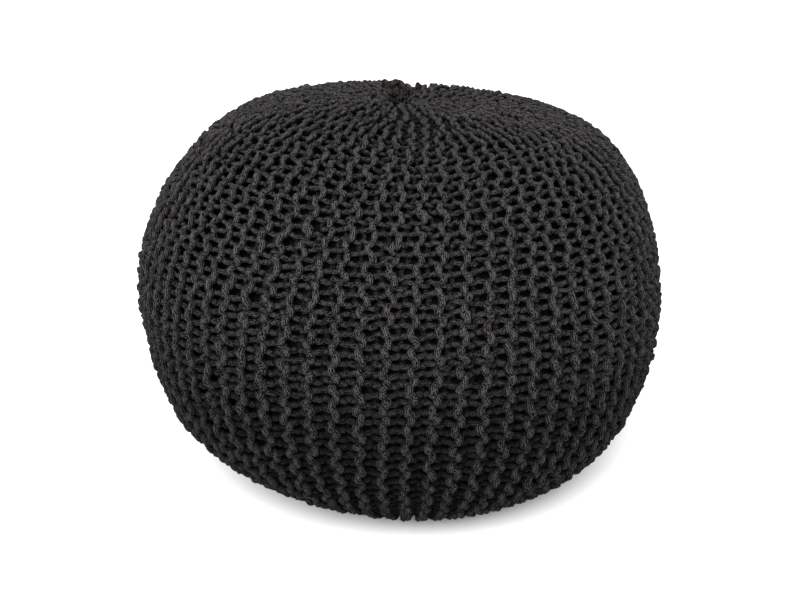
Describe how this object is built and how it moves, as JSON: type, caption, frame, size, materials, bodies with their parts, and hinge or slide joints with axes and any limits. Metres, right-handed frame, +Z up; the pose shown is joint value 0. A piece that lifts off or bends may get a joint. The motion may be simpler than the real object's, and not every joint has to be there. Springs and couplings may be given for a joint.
{
  "type": "knitted pouf",
  "caption": "Round floor pouf with a filled cover of thick cotton cord in garter stitch, gathered and knotted at its crown.",
  "frame": {"origin": "on the floor, under the middle of the pouf's widest ring", "axes": "+Z up from the flat base to the gathered crown; the pictured side faces -Y; +X to that side's right"},
  "size_m": [0.4999, 0.4975, 0.397],
  "materials": {
    "charcoal_cotton_knit": "matt twisted cotton cord, knitted in garter stitch",
    "dark_knot_cord": "matt twisted cotton cord, knotted"
  },
  "bodies": {
    "root": {"knitted_cover": "charcoal_cotton_knit", "closing_knot": "dark_knot_cord", "join_knot": "dark_knot_cord"}
  },
  "joints": []
}
